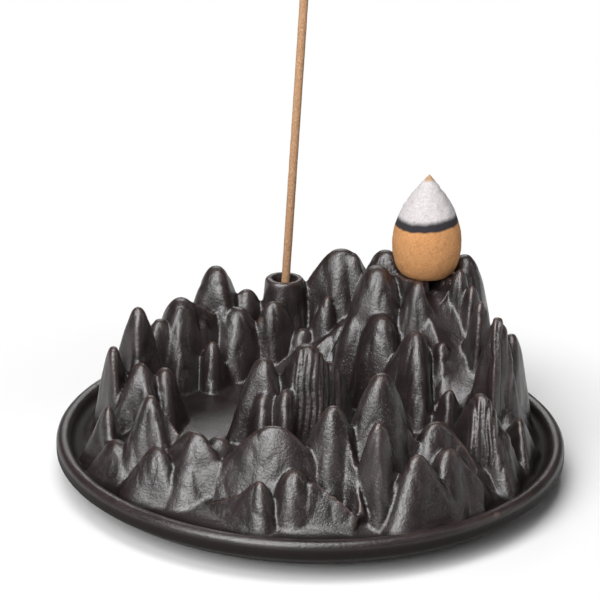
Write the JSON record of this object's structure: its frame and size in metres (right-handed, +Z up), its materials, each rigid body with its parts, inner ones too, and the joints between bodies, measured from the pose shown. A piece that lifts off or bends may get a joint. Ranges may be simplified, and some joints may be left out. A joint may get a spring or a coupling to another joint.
{
  "type": "backflow incense burner",
  "caption": "Round glazed dish with a ring of mountains, a cone seat and a stick cup, holding an incense cone and an incense stick, for smoke that flows down into the pool.",
  "frame": {"origin": "centre of the foot ring on the surface that the burner stands on", "axes": "+Z up; -Y is the front, where the low ring of mountains is; the cone's seat is at the back right"},
  "size_m": [0.12, 0.12, 0.1606],
  "materials": {
    "glazed_ceramic": "dark brown-black satin glaze",
    "cone_powder": "matt pressed wood powder",
    "stick_powder": "matt pressed wood powder"
  },
  "bodies": {
    "root": {"burner": "glazed_ceramic", "incense_cone": "cone_powder", "incense_stick": "stick_powder"}
  },
  "joints": []
}
